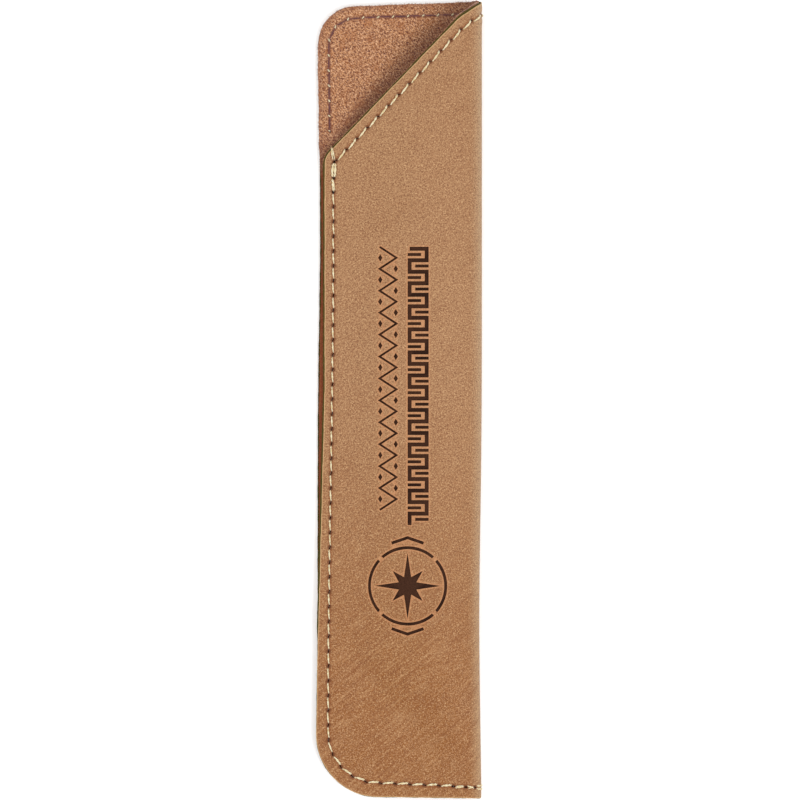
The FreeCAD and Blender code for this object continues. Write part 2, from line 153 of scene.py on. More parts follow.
def blank_s(x, y, side):
    """The blank's own s for a plan position x on the front (+1) or the back (-1)."""
    reach = np.maximum(fold_x(y) - x, 0.0)
    return side * np.sqrt((reach + NOSE_SPREAD) ** 2 - NOSE_SPREAD ** 2)


WIDEST = float(blank_s(seam_x(0.0), 0.0, 1))
print(f"flat blank: {2 * WIDEST:.1f} x {LENGTH} mm, folded to {FOLD_X - SEAM_X:.1f} mm across")

# %% [markdown]
# ## The outline of the blank
# The outline is one closed line.  On the front panel it runs down the slanted mouth, round a
# small corner and down a side that is cut back a little from the back panel's.  On the back panel
# it runs round the flap.  Straight runs and corners are listed once, and a helper rounds them.

# %% Rounding helper and the two halves of the outline
def rounded(points, step=0.5):
    """Plan points along a run of (x, y, radius) corners, about step millimetres apart."""
    out = []
    for i, (x, y, r) in enumerate(points):
        here = Vector((x, y))
        if not r or i in (0, len(points) - 1):
            out.append((x, y))
            continue
        before = (Vector(points[i - 1][:2]) - here).normalized()
        after = (Vector(points[i + 1][:2]) - here).normalized()
        half = before.angle(after) / 2
        centre = here + (before + after).normalized() * r / math.sin(half)
        a = here + before * r / math.tan(half) - centre
        b = here + after * r / math.tan(half) - centre
        turn = a.angle_signed(b)
        count = max(3, int(r * abs(turn) / step))
        for k in range(count + 1):
            angle = math.atan2(a.y, a.x) - turn * k / count
            out.append((centre.x + r * math.cos(angle), centre.y + r * math.sin(angle)))
    return resampled(out, step)


def resampled(points, step):
    """The same line with a point about every step millimetres."""
    p = np.array(points, float)
    gone = np.concatenate([[0], np.cumsum(np.hypot(*np.diff(p, axis=0).T))])
    at = np.linspace(0, gone[-1], max(2, int(gone[-1] / step) + 1))
    return np.stack([np.interp(at, gone, p[:, 0]), np.interp(at, gone, p[:, 1])], axis=-1)


MOUTH_LOW, MOUTH_BEND, MOUTH_FOLD = (-15.15, 48.5), (11.85, 76.3), (FOLD_X, 79.12)
heights = np.linspace(BOTTOM_LEFT_Y + BOTTOM_CORNER, -46.0, 12)
side_low = [(float(seam_x(y)), float(y), 0) for y in heights]
bottom_front = [(FOLD_X, float(bottom_y(FOLD_X)), 0)]
bottom_front += [(float(seam_x(heights[0])), BOTTOM_LEFT_Y, BOTTOM_CORNER)] + side_low[1:]
mouth_side = [side_low[-1], (-15.15, 2.0, 9.0), MOUTH_LOW + (4.0,), MOUTH_BEND + (9.0,),
              MOUTH_FOLD + (0,)]
heights = np.linspace(TOP_LEFT_Y - TOP_CORNER - 2, BOTTOM_LEFT_Y + BOTTOM_CORNER + 2, 40)
back_side = [(float(seam_x(y)), float(y), 0) for y in heights]
flap = [(FOLD_X, float(top_y(FOLD_X)), 0), (-16.2, float(top_y(-16.2)), TOP_CORNER)]
flap += back_side + [(float(seam_x(-66.6)), BOTTOM_LEFT_Y, BOTTOM_CORNER)]
flap += [(FOLD_X, float(bottom_y(FOLD_X)), 0)]


def on_blank(plan, side):
    """Plan points as (s, y) points of the flat blank."""
    return np.stack([blank_s(plan[:, 0], plan[:, 1], side), plan[:, 1]], axis=-1)


closed_part = on_blank(rounded(bottom_front), 1)
mouth_part = on_blank(rounded(mouth_side), 1)
flap_part = on_blank(rounded(flap), -1)
print("outline points:", len(closed_part), len(mouth_part), len(flap_part))

# %% [markdown]
# The three layers aren't cut quite alike.  At the mouth the skin stops first, then a dark line of
# core shows, then the lining's raw edge.  Round the flap the lining stands out a little, and down
# the sewn side the core does.  So each stretch of the outline is let out or taken in by its own
# amount.  A knife never runs perfectly true, so a slow and very small waver is added.

# %% The outline with its allowances
def outline(mouth, round_flap, sewn, waver, phase):
    """Closed (s, y) outline, let out by so many millimetres along its three stretches."""
    line = np.concatenate([closed_part[:-1], mouth_part, flap_part[:-1]])
    out = np.full(len(line), sewn)
    a, b = len(closed_part) - 1, len(closed_part) - 1 + len(mouth_part)
    high = ease((line[:, 1] - 44.0) / 5.0)
    out[a:b] = mouth * high[a:b] + min(mouth, 0.2) * (1 - high[a:b])
    out[b:] = round_flap * high[b:] + sewn * (1 - high[b:])
    out = np.convolve(np.concatenate([out[-4:], out, out[:4]]), np.ones(9) / 9, "valid")
    ahead = np.roll(line, -2, axis=0) - np.roll(line, 2, axis=0)
    ahead /= np.maximum(np.hypot(*ahead.T), 1e-6)[:, None]
    normal = np.stack([ahead[:, 1], -ahead[:, 0]], axis=-1)
    gone = np.cumsum(np.hypot(*(line - np.roll(line, 1, axis=0)).T))
    out += waver * (np.sin(gone * 0.47 + phase) + np.sin(gone * 1.31 + 2 * phase)
                    + 0.7 * np.sin(gone * 3.1 + 3 * phase)) / 2.7
    return line + normal * out[:, None]


def area_of(line):
    ahead = np.roll(line, -1, axis=0)
    return 0.5 * abs(np.sum(line[:, 0] * ahead[:, 1] - line[:, 1] * ahead[:, 0]))


print(f"blank area {area_of(outline(0, 0, 0, 0, 0)):.0f} mm2, "
      f"let out by 0.3 mm {area_of(outline(0.3, 0.3, 0.3, 0, 0)):.0f} mm2")

# %% [markdown]
# ## The seam lines
# A lockstitch is a row of needle holes with a strand from each hole to the next on both faces.
# The holes are worked out once, as even steps along each seam line, and used three times: to
# punch the sheets, to dimple them, and to place the stitches.

# %% Needle holes
SIDE_PITCH, HEM_PITCH, HEM_INSET, HEM_INSET_FOLD = 2.93, 3.02, 2.2, 2.5
FLAP_INSET_TOP, FLAP_INSET_SIDE, FLAP_SEAM_CORNER = 2.3, 2.1, 5.2
MOUTH_TOP = 79.2    # where the mouth's edge meets the fold
TACK_TOP = [(-13.75, 50.9), (-13.15, 47.4), (-13.25, 44.3), (-13.30, 41.5)]
TACK_BOTTOM = [(10.6, -77.0), (13.1, -77.15), (15.0, -77.2)]


def even(line, pitch):
    """Points at an even pitch along a line, both ends included."""
    gone = np.concatenate([[0], np.cumsum(np.hypot(*np.diff(line, axis=0).T))])
    at = np.linspace(0, gone[-1], round(gone[-1] / pitch) + 1)
    return np.stack([np.interp(at, gone, line[:, 0]), np.interp(at, gone, line[:, 1])], axis=-1)


corner_y = BOTTOM_LEFT_Y + BOTTOM_CORNER
corner_x = float(stitch_x(corner_y)) + BOTTOM_SEAM_CORNER
plan = [(float(stitch_x(y)), y) for y in np.arange(TACK_TOP[-1][1], corner_y, -2.0)]
for a in np.radians(np.linspace(180, 262, 13)):
    plan.append((corner_x + BOTTOM_SEAM_CORNER * math.cos(a),
                 corner_y + BOTTOM_SEAM_CORNER * math.sin(a)))
plan.append(TACK_BOTTOM[0])
side_holes = even(on_blank(np.array(plan), 1), SIDE_PITCH)

slant = math.atan2(MOUTH_BEND[1] - MOUTH_LOW[1], MOUTH_BEND[0] - MOUTH_LOW[0])
dx, dy = HEM_INSET * math.sin(slant), -HEM_INSET * math.cos(slant)
start_x = float(stitch_x(47.0)) + 0.45
start = (start_x, MOUTH_LOW[1] + dy + (start_x - MOUTH_LOW[0] - dx) * math.tan(slant))
bend = (MOUTH_BEND[0] + dx * 0.9, MOUTH_BEND[1] + dy * 0.9)
front = resampled([start, bend], 2.2)[:-1]
front = np.concatenate([front, resampled([bend, (FOLD_X, MOUTH_TOP - HEM_INSET_FOLD)], 0.5)])
high = TOP_LEFT_Y - FLAP_INSET_TOP - FLAP_SEAM_CORNER
left = float(seam_x(high)) + FLAP_INSET_SIDE + FLAP_SEAM_CORNER
back = [(x, float(top_y(x)) - FLAP_INSET_TOP) for x in (FOLD_X, 14.0, 10.0, 4.0, -3.0)]
for a in np.radians(np.linspace(90, 180, 9)):
    back.append((left + FLAP_SEAM_CORNER * math.cos(a), high + FLAP_SEAM_CORNER * math.sin(a)))
back += [(float(seam_x(y)) + FLAP_INSET_SIDE, y) for y in (66.0, 60.0, 53.6)]
hem_holes = even(np.concatenate([on_blank(front, 1)[:-1], on_blank(np.array(back), -1)]), HEM_PITCH)
top_tack = on_blank(np.array(TACK_TOP), 1)
bottom_tack = on_blank(np.array(TACK_BOTTOM), 1)
print("holes:", len(side_holes), "side seam,", len(hem_holes), "hem")

# %% [markdown]
# ## Cutting the flat sheets
# Each layer starts as a plane with a fine grid on it, is extruded to its thickness, and is cut by
# prisms: one with the blank's outline, and small ones for holes and ornament.  Cutting while it
# is flat keeps every edge square to the sheet, as a die or a laser does.  In flat space the front
# panel lies at minus X, so that folding it doesn't turn it inside out.

# %% Helpers: select nothing, and prisms from a flat ngon
def select_only(obj):
    bpy.ops.object.select_all(action="DESELECT")
    obj.select_set(True)
    bpy.context.view_layer.objects.active = obj


def prism(name, points, low=-5.0, high=5.0):
    """A closed prism over (s, y) points: a circle with its points moved, then extruded."""
    bpy.ops.object.select_all(action="DESELECT")
    bpy.ops.mesh.primitive_circle_add(vertices=len(points), radius=MM, fill_type="NGON")
    obj = bpy.context.object
    obj.name = name
    for v, (s, y) in zip(obj.data.vertices, points):
        v.co = (-s * MM, y * MM, low * MM)
    bpy.ops.object.mode_set(mode="EDIT")
    bpy.ops.mesh.select_all(action="SELECT")
    bpy.ops.mesh.extrude_region_move(TRANSFORM_OT_translate={"value": (0, 0, (high - low) * MM)})
    bpy.ops.mesh.select_all(action="SELECT")
    bpy.ops.mesh.normals_make_consistent(inside=False)
    bpy.ops.object.mode_set(mode="OBJECT")
    return obj


def joined(name, pieces):
    bpy.ops.object.select_all(action="DESELECT")
    for piece in pieces:
        piece.select_set(True)
    bpy.context.view_layer.objects.active = pieces[0]
    if len(pieces) > 1:
        bpy.ops.object.join()
    pieces[0].name = name
    return pieces[0]


def cut(obj, tool, operation="DIFFERENCE", keep=False):
    """Applies a Boolean modifier, and takes the tool away unless it is needed again."""
    select_only(obj)
    modifier = obj.modifiers.new(operation.title(), "BOOLEAN")
    modifier.operation = operation
    modifier.solver = "MANIFOLD"
    modifier.object = tool
    bpy.ops.object.modifier_apply(modifier=modifier.name)
    if not keep:
        bpy.data.objects.remove(tool)


# %% [markdown]
# A needle leaves a short slit with round ends, turned a little off the seam's line.  The slit's
# outline is worked out once for each seam and laid along the seam at every hole, a prism is
# raised on each one, and the prisms are joined into one tool.

# %% Needle punches
def directions(holes):
    """Unit vector along the seam at each hole."""
    ahead = np.gradient(holes, axis=0)
    return ahead / np.hypot(*ahead.T)[:, None]


def punches(name, holes, long, wide, turn):
    """Slits long by wide, turned by turn degrees from the seam line."""
    ring = np.linspace(0, 2 * math.pi, 12, endpoint=False)
    slit = np.stack([long / 2 * np.cos(ring), wide / 2 * np.sin(ring)], axis=-1)
    made = []
    for (s, y), (ds, dy) in zip(holes, directions(holes)):
        c, d = math.cos(math.radians(turn)), math.sin(math.radians(turn))
        along = np.array([ds * c - dy * d, ds * d + dy * c])
        across = np.array([-along[1], along[0]])
        made.append(prism("punch", slit[:, :1] * along + slit[:, 1:] * across + (s, y)))
    return joined(name, made)


back_holes = side_holes * (-1, 1)
needle_tool = joined("needle_tool", [
    punches("side", side_holes[1:-1], 1.00, 0.22, 16),
    punches("back", back_holes, 0.60, 0.30, 0),
    punches("hem", hem_holes, 0.70, 0.22, 30),
    punches("tack", np.concatenate([top_tack[1:-1] + (-0.02, -0.1), top_tack[-1:]]), 0.8, 0.5, 0),
    punches("end", bottom_tack, 0.8, 0.34, 0),
])
print("needle punches:", len(needle_tool.data.vertices) // 24)

# %% [markdown]
# ## Ornament
# A laser burns the ornament through the skin down to the dark core.  It is plain pattern: a bold
# battlement border, a light zigzag border with lozenges, and a compass rose in a ring.  The ring
# is left unburnt in four places, as in a stencil, so that the skin inside it stays joined.

# %% Border, lozenge and star outlines
ROW_BOLD, ROW_LIGHT, EMBLEM = (1.5, 30.5, 4.2, 55.8), (-4.5, 30.5, 4.2, 52.4), (1.5, -37.0)
BAYS, BOLD_STROKE, LIGHT_STROKE, BAR, BAR_GAP = 12, 0.80, 0.42, 0.60, 0.70
LOZENGE, LOZENGE_INSET, RING, BRIDGE = (0.9, 1.5), 0.55, 7.9, 0.9
STAR_LONG, STAR_SHORT, STAR_WAIST = 6.6, 4.3, 1.9
CHEVRON = ((-3.2, 8.5), (0.0, 9.6), (3.2, 8.5))


def stroke(points, width):
    """Outline of a line of constant width, with mitred corners."""
    left, right = [], []
    for i, point in enumerate(points):
        p = Vector(point)
        first = p - Vector(points[i - 1]) if i else Vector(points[1]) - p
        second = Vector(points[i + 1]) - p if i < len(points) - 1 else first
        n1, n2 = first.orthogonal().normalized(), second.orthogonal().normalized()
        mitre = (n1 + n2).normalized()
        reach = width / 2 / mitre.dot(n1)
        left.append(p + mitre * reach)
        right.append(p - mitre * reach)
    return [tuple(p) for p in left + right[::-1]]


def block(cx, cy, wide, tall):
    return [(cx - wide / 2, cy - tall / 2), (cx + wide / 2, cy - tall / 2),
            (cx + wide / 2, cy + tall / 2), (cx - wide / 2, cy + tall / 2)]


ornament = []
x0, top, wide, length = ROW_BOLD
half = (length - BOLD_STROKE) / (2 * BAYS)
edge, line = BOLD_STROKE / 2, [(x0 + BOLD_STROKE / 2, top - BOLD_STROKE / 2)]
bar = wide - BOLD_STROKE - BAR_GAP
for i in range(2 * BAYS):
    x = (x0 + wide - edge, x0 + edge)[i % 2]
    line += [(x, top - edge - half * i), (x, top - edge - half * (i + 1))]
    x = (x0 + bar / 2, x0 + wide - bar / 2)[i % 2]
    ornament.append(block(x, top - edge - half * (i + 0.5), bar, BAR))
ornament.append(stroke(line, BOLD_STROKE))
x0, top, wide, length = ROW_LIGHT
half = length / (2 * BAYS)
line = [(x0 + (LIGHT_STROKE, wide - LIGHT_STROKE)[i % 2], top - half * i)
        for i in range(2 * BAYS + 1)]
ornament.append(stroke(line, LIGHT_STROKE))
for i in range(1, 2 * BAYS):
    x, y = x0 + (wide - LOZENGE_INSET, LOZENGE_INSET)[i % 2], top - half * i
    w, t = LOZENGE[0] / 2, LOZENGE[1] / 2
    ornament.append([(x - w, y), (x, y - t), (x + w, y), (x, y + t)])
star = []
for i in range(16):
    r = (STAR_LONG, STAR_WAIST, STAR_SHORT, STAR_WAIST)[i % 4]
    a = math.radians(90 + 22.5 * i)
    star.append((EMBLEM[0] + r * math.cos(a), EMBLEM[1] + r * math.sin(a)))
ornament.append(star)
for side in (1, -1):
    ornament.append(stroke([(EMBLEM[0] + x, EMBLEM[1] + side * y) for x, y in CHEVRON], BAR))
print("ornament shapes:", len(ornament) + 1)

# %% The burning tool: all shapes as prisms, and the ring as a pipe
def on_front(points):
    return on_blank(np.array(points, float), 1)


burn_tool = joined("burn_tool", [prism("burn", on_front(shape)) for shape in ornament])
ring_steps = np.radians(np.arange(0, 360, 3.0))
circle = np.stack([np.cos(ring_steps), np.sin(ring_steps)], axis=-1)
ring_tool = prism("ring", on_front(circle * RING + EMBLEM))
cut(ring_tool, prism("ring_hole", on_front(circle * (RING - BAR) + EMBLEM), -6.0, 6.0))
for turn in (45, 135):
    c, d = math.cos(math.radians(turn)), math.sin(math.radians(turn))
    bridge = np.array(block(0, 0, BRIDGE, 3 * RING)) @ np.array([[c, d], [-d, c]]) + EMBLEM
    cut(ring_tool, prism("bridge", on_front(bridge), -6.0, 6.0))
burn_tool = joined("burn_tool", [burn_tool, ring_tool])
print("burning tool:", len(burn_tool.data.polygons), "faces")

# %% [markdown]
# ## Distances that the finishes need
# Painted shade and highlights, crushed nap, scorching and dimples all depend on how far a point is
# from an edge, a hole or a burnt line.  Those distances are measured on the flat sheet, where they
# are true, and kept with the mesh as attributes, so that a material can read them later.

# %% Distance helpers
def distance_to_line(points, a, b, reach):
    """Distance of each point to the nearest of the segments a-b, no more than reach."""
    best = np.full(len(points), reach)
    for p, q in zip(a, b):
        low, high = np.minimum(p, q) - reach, np.maximum(p, q) + reach
        near = np.flatnonzero(np.all((points > low) & (points < high), axis=1))
        if len(near):
            d, t = q - p, points[near] - p
            r = np.clip(t @ d / max(d @ d, 1e-9), 0, 1)
            best[near] = np.minimum(best[near], np.hypot(*(t - r[:, None] * d).T))
    return best


burnt_a, burnt_b = [], []
rings = [circle * r + EMBLEM for r in (RING, RING - BAR)]
for shape in [on_front(s) for s in ornament + rings]:
    burnt_a += list(shape)
    burnt_b += list(np.roll(shape, -1, axis=0))
seams = [side_holes, back_holes, hem_holes, top_tack, bottom_tack]
seam_a = [p for line in seams for p in line[:-1]]
seam_b = [p for line in seams for p in line[1:]]
all_holes = np.concatenate(seams)
print("burnt segments:", len(burnt_a), "seam segments:", len(seam_a))

# %% A flat sheet, cut and measured
def flat_sheet(name, upper, lower, grid, line, tools, fine=0.0):
    """One layer of the laminate between two depths, cut to an outline and by the tools."""
    bpy.ops.object.select_all(action="DESELECT")
    across, along = int(2 * (WIDEST + 2) / grid), int((LENGTH + 4) / grid)
    bpy.ops.mesh.primitive_grid_add(x_subdivisions=across, y_subdivisions=along, size=MM)
    obj = bpy.context.object
    obj.name = name
    co = np.empty(3 * len(obj.data.vertices))
    obj.data.vertices.foreach_get("co", co)
    co = co.reshape(-1, 3) * (2 * (WIDEST + 2), LENGTH + 4, 0) + (0, 0, -upper * MM)
    obj.data.vertices.foreach_set("co", co.ravel())
    if fine:
        middle = np.array([p.center[:2] for p in obj.data.polygons]) / MM * (-1, 1)
        near = distance_to_line(middle, seam_a, seam_b, fine) < fine
        bpy.ops.object.mode_set(mode="EDIT")
        bpy.ops.mesh.select_mode(type="FACE")
        bpy.ops.mesh.select_all(action="DESELECT")
        bpy.ops.object.mode_set(mode="OBJECT")
        obj.data.polygons.foreach_set("select", near)
        bpy.ops.object.mode_set(mode="EDIT")
        bpy.ops.mesh.subdivide(number_cuts=1)
        bpy.ops.object.mode_set(mode="OBJECT")
    bpy.ops.object.mode_set(mode="EDIT")
    bpy.ops.mesh.select_all(action="SELECT")
    bpy.ops.mesh.extrude_region_move(
        TRANSFORM_OT_translate={"value": (0, 0, -(lower - upper) * MM)})
    bpy.ops.mesh.select_all(action="SELECT")
    bpy.ops.mesh.normals_make_consistent(inside=False)
    bpy.ops.object.mode_set(mode="OBJECT")
    cut(obj, prism("die", line), "INTERSECT")
    for tool in tools:
        cut(obj, tool, keep=True)
    print(f"{name}: {len(obj.data.vertices)} vertices, {len(obj.data.polygons)} faces flat")
    return obj


skin_line = outline(-0.12, -0.05, 0.0, 0.05, 0.4)
core_line = outline(0.18, -0.15, 0.05, 0.05, 1.9)
lining_line = outline(0.36, 0.05, -0.25, 0.08, 3.3)
skin_sheet = flat_sheet("skin_sheet", 0.0, SKIN, 0.70, skin_line, [needle_tool, burn_tool], 1.5)
core_sheet = flat_sheet("core_sheet", SKIN, SKIN + CORE, 0.95, core_line, [needle_tool])
lining_sheet = flat_sheet("lining_sheet", SKIN + CORE, WALL, 0.70, lining_line, [needle_tool])
bpy.data.objects.remove(needle_tool)
bpy.data.objects.remove(burn_tool)

# %% [markdown]
# ## Folding
# Every vertex is moved from its flat place to its folded one.  On the way the stitches pull the
# faces in: each hole is the bottom of a dimple, and the strands lie in a shallow valley with the
# leatherette swelling a little on each side.  The flat place is kept as a UV map, and the
# distances as attributes.

# %% Dimples, and the fold itself
def pressed(flat):
    """How far the outer face is drawn in by the stitches, in millimetres."""
    line = distance_to_line(flat, seam_a, seam_b, 3.0)
    near = distance_to_line(flat, all_holes, all_holes, 3.0)
    valley = 0.09 * np.exp(-(line / 0.55) ** 2) - 0.05 * np.exp(-((line - 1.35) / 0.6) ** 2)
    return valley + 0.13 * np.exp(-(near / 0.45) ** 2)


def fold(obj, line, face=0.0):
    """Folds a flat mesh.  face is the depth of the face that the stitches press on."""
    mesh = obj.data
    co = np.empty(3 * len(mesh.vertices))
    mesh.vertices.foreach_get("co", co)
    co = co.reshape(-1, 3) / MM
    flat, depth = co[:, :2] * (-1, 1), -co[:, 2]
    cut_edge = distance_to_line(flat, line, np.roll(line, -1, axis=0), 4.0)
    x, _ = outer(flat[:, 0], flat[:, 1])
    plan = np.stack([np.where(flat[:, 0] < 0, x, 99.0), flat[:, 1]], axis=-1)
    rim = np.array([MOUTH_LOW, MOUTH_BEND, MOUTH_FOLD])
    for name, value in (("edge", cut_edge),
                        ("burnt", distance_to_line(flat, burnt_a, burnt_b, 1.5)),
                        ("hole", distance_to_line(flat, all_holes, all_holes, 2.0)),
                        ("mouth", distance_to_line(plan, rim[:-1], rim[1:], 9.0)),
                        ("seam", distance_to_line(flat, seam_a, seam_b, 2.5))):
        mesh.attributes.new(name, "FLOAT", "POINT").data.foreach_set("value", value)
    uv = mesh.uv_layers.new(name="flat")
    corner = np.empty(len(mesh.loops), int)
    mesh.loops.foreach_get("vertex_index", corner)
    uv.data.foreach_set("uv", (co[corner, :2] / UV_MM + 0.5).ravel())
    share = 1 - np.abs(depth - face) / WALL
    sink = pressed(flat) * share * (1 if face == 0 else -1)
    rolled = 0.05 * np.exp(-(cut_edge / 0.25) ** 2) * (depth < 0.01)
    where = folded(flat[:, 0], flat[:, 1], depth + sink + rolled)
    mesh.vertices.foreach_set("co", (where * MM).ravel())
    mesh.update()
    select_only(obj)
    bpy.ops.object.shade_smooth_by_angle(angle=math.radians(38))
    print(f"{obj.name}: folded, z {where[:, 2].min():.2f} to {where[:, 2].max():.2f} mm")


fold(skin_sheet, skin_line)
fold(core_sheet, core_line)
fold(lining_sheet, lining_line)

# %% [markdown]
# ## Raw suede edge
# The lining is a napped sheet, so its cut edge isn't a clean line: short fibres stand out of it.
# One fibre is a thin four-sided cone.  An Array modifier repeats it, and then each copy is set
# at a seeded random place and angle on the lining's outline, folded, and joined to the sheet.

# %% Where the fibres stand
FIBRE_LONG, FIBRE_THICK, FIBRE_DROOP = (0.12, 0.42), (0.018, 0.04), 0.08


def fibre_places(line, per_mm, seed):
    """One row per fibre: s, y, depth, angle, length, thickness and droop."""
    rng = np.random.default_rng(seed)
    ahead = np.roll(line, -1, axis=0) - line
    size = np.hypot(*ahead.T)
    rows = []
    for i in np.flatnonzero((line[:, 1] > -30) & ((line[:, 0] < 0) | (line[:, 1] > 46))):
        for _ in range(rng.poisson(per_mm * size[i])):
            s, y = line[i] + ahead[i] * rng.random() + rng.normal(0, 0.05, 2)
            angle = math.atan2(-ahead[i][0], ahead[i][1]) + rng.normal(0, 0.75)
            depth = SKIN + CORE + LINING * rng.uniform(0.15, 1.0)
            rows.append((s, y, depth, angle, rng.uniform(*FIBRE_LONG), rng.uniform(*FIBRE_THICK),
                         rng.normal(0, FIBRE_DROOP)))
    return np.array(rows)


# %% Fibres along the lining's edge
ROOTED = 0.1    # how deep a fibre's root sits in the sheet


def fibres(places):
    bpy.ops.object.select_all(action="DESELECT")
    bpy.ops.mesh.primitive_cone_add(vertices=4, radius1=1, radius2=0, depth=1)
    obj = bpy.context.object
    repeat = obj.modifiers.new("repeat", "ARRAY")
    repeat.count = len(places)
    repeat.use_relative_offset = False
    bpy.ops.object.modifier_apply(modifier="repeat")
    mesh = obj.data
    cone = np.empty(3 * len(mesh.vertices))
    mesh.vertices.foreach_get("co", cone)
    cone = cone.reshape(len(places), -1, 3)
    s, y, depth, angle, long, thick, droop = (column[:, None] for column in places.T)
    out = cone[..., 2] + 0.5
    reach, side = out * (long + ROOTED) - ROOTED, cone[..., 0] * thick
    s = (s + reach * np.cos(angle) - side * np.sin(angle)).ravel()
    y = (y + reach * np.sin(angle) + side * np.cos(angle)).ravel()
    depth = (depth + cone[..., 1] * thick + droop * out).ravel()
    mesh.vertices.foreach_set("co", (folded(s, y, depth) * MM).ravel())
    for name, value in (("burnt", 1.5), ("hole", 2.0), ("seam", 2.5), ("mouth", 9.0),
                        ("edge", 0.8)):
        layer = mesh.attributes.new(name, "FLOAT", "POINT")
        layer.data.foreach_set("value", np.full(len(s), value))
    corner = np.empty(len(mesh.loops), int)
    mesh.loops.foreach_get("vertex_index", corner)
    uv = np.stack([-s[corner], y[corner]], axis=-1) / UV_MM + 0.5
    mesh.uv_layers.new(name="flat").data.foreach_set("uv", uv.ravel())
    bpy.ops.object.mode_set(mode="EDIT")
    bpy.ops.mesh.select_all(action="SELECT")
    bpy.ops.mesh.normals_make_consistent(inside=False)
    bpy.ops.object.mode_set(mode="OBJECT")
    print("fibres:", len(places))
    return obj


edge_fibres = fibres(fibre_places(lining_line, 9.0, 11))
lining_sheet = joined("lining_sheet", [lining_sheet, edge_fibres])

# %% [markdown]
# ## Thread
# Sewing thread is several plies twisted together, and two are enough at this size.  One strand is
# modelled: a cylinder is cut into lengths, doubled, and wrung with a Simple Deform modifier.
# Every stitch is a copy of it, bent into a low arch that comes up out of one hole and goes down
# the next.

# %% One straight strand, twisted
PLY = 0.115
bpy.ops.object.select_all(action="DESELECT")
bpy.ops.mesh.primitive_cylinder_add(vertices=5, radius=PLY, depth=1, location=(0, PLY * 0.72, 0),
                                    rotation=(0, math.pi / 2, 0))
strand = bpy.context.object
bpy.ops.object.transform_apply(location=True, rotation=True, scale=True)
bpy.ops.object.mode_set(mode="EDIT")
bpy.ops.mesh.select_mode(type="EDGE")
bpy.ops.mesh.select_all(action="DESELECT")
bpy.ops.object.mode_set(mode="OBJECT")
for e in strand.data.edges:
    a, b = (strand.data.vertices[i].co for i in e.vertices)
    e.select = abs(a.x - b.x) > 0.5
bpy.ops.object.mode_set(mode="EDIT")
bpy.ops.mesh.subdivide(number_cuts=9)
bpy.ops.mesh.select_all(action="SELECT")
bpy.ops.mesh.duplicate()
bpy.ops.transform.rotate(value=math.pi, orient_axis="X", center_override=(0, 0, 0))
bpy.ops.object.mode_set(mode="OBJECT")
wring = strand.modifiers.new("wring", "SIMPLE_DEFORM")
wring.deform_method, wring.deform_axis, wring.angle = "TWIST", "X", 2 * math.pi * 2.1
bpy.ops.object.modifier_apply(modifier="wring")
print("one strand:", len(strand.data.polygons), "faces")

# %% [markdown]
# The arch is a rounded box curve, nearly upright in the holes and nearly flat between them.
# It is laid out in blank space and folded like the sheets, so a stitch follows the surface that
# it lies on, round the fold too.

# %% Sewing
BURIED = 0.75    # a leg that goes deeper shows at the far face, with almost no painted shade


def arch(t, half, top, leg):
    """Centre line of a stitch: distance from its middle, and height over the face."""
    angle = math.pi * (1 - t)
    c, d = np.cos(angle), np.abs(np.sin(angle))
    return half * np.sign(c) * np.abs(c) ** 0.62, (leg + top) * d ** 0.62 - leg


def sew(name, pairs, face=0.0, leg=0.5, top=0.10, inset=0.30, shift=0.0, swell=0.0, bow=0.0,
        slant=0.08, slim=1.0):
    """Copies of the strand from hole to hole.  shift and bow move it sideways, swell thickens
    its far end."""
    base = np.array([v.co for v in strand.data.vertices])
    t = np.clip(base[:, 0] + 0.5, 0.0, 1.0)
    made = []
    for number, (a, b) in enumerate(pairs):
        a, b = np.array(a), np.array(b)
        long = np.hypot(*(b - a))
        along = (b - a) / long
        across = np.array([-along[1], along[0]])
        wobble = 0.03 * math.sin(number * 2.4), 0.02 * math.sin(number * 1.7)
        d, h = arch(t, long / 2 - inset + wobble[1], top, leg)
        d1, h1 = arch(np.clip(t + 0.01, 0, 1), long / 2 - inset, top, leg)
        d0, h0 = arch(np.clip(t - 0.01, 0, 1), long / 2 - inset, top, leg)
        size = np.maximum(np.hypot(d1 - d0, h1 - h0), 1e-9)
        girth = slim * (1 + swell * (t - 0.4))
        side = base[:, 1] * girth + shift + slant * (1 - 2 * t) + wobble[0]
        side = side + bow * np.sin(math.pi * t)
        d = d - base[:, 2] * girth * (h1 - h0) / size
        h = h + base[:, 2] * girth * (d1 - d0) / size
        flat = (a + b) / 2 + along * d[:, None] + across * side[:, None]
        depth = face + h if face else -h
        obj = strand.copy()
        obj.data = strand.data.copy()
        bpy.context.collection.objects.link(obj)
        place = folded(flat[:, 0], flat[:, 1], depth) * MM
        obj.data.vertices.foreach_set("co", place.ravel())
        obj.data.attributes.new("along", "FLOAT", "POINT").data.foreach_set("value", t)
        shown = np.where(h < -BURIED, 0.1, h)
        obj.data.attributes.new("rise", "FLOAT", "POINT").data.foreach_set("value", shown)
        made.append(obj)
    obj = joined(name, made)
    bpy.ops.object.mode_set(mode="EDIT")
    bpy.ops.mesh.select_all(action="SELECT")
    bpy.ops.mesh.normals_make_consistent(inside=False)
    bpy.ops.object.mode_set(mode="OBJECT")
    bpy.ops.object.shade_smooth()
    print(f"{name}: {len(made)} stitches")
    return obj


def steps(line):
    return list(zip(line, line[1:]))


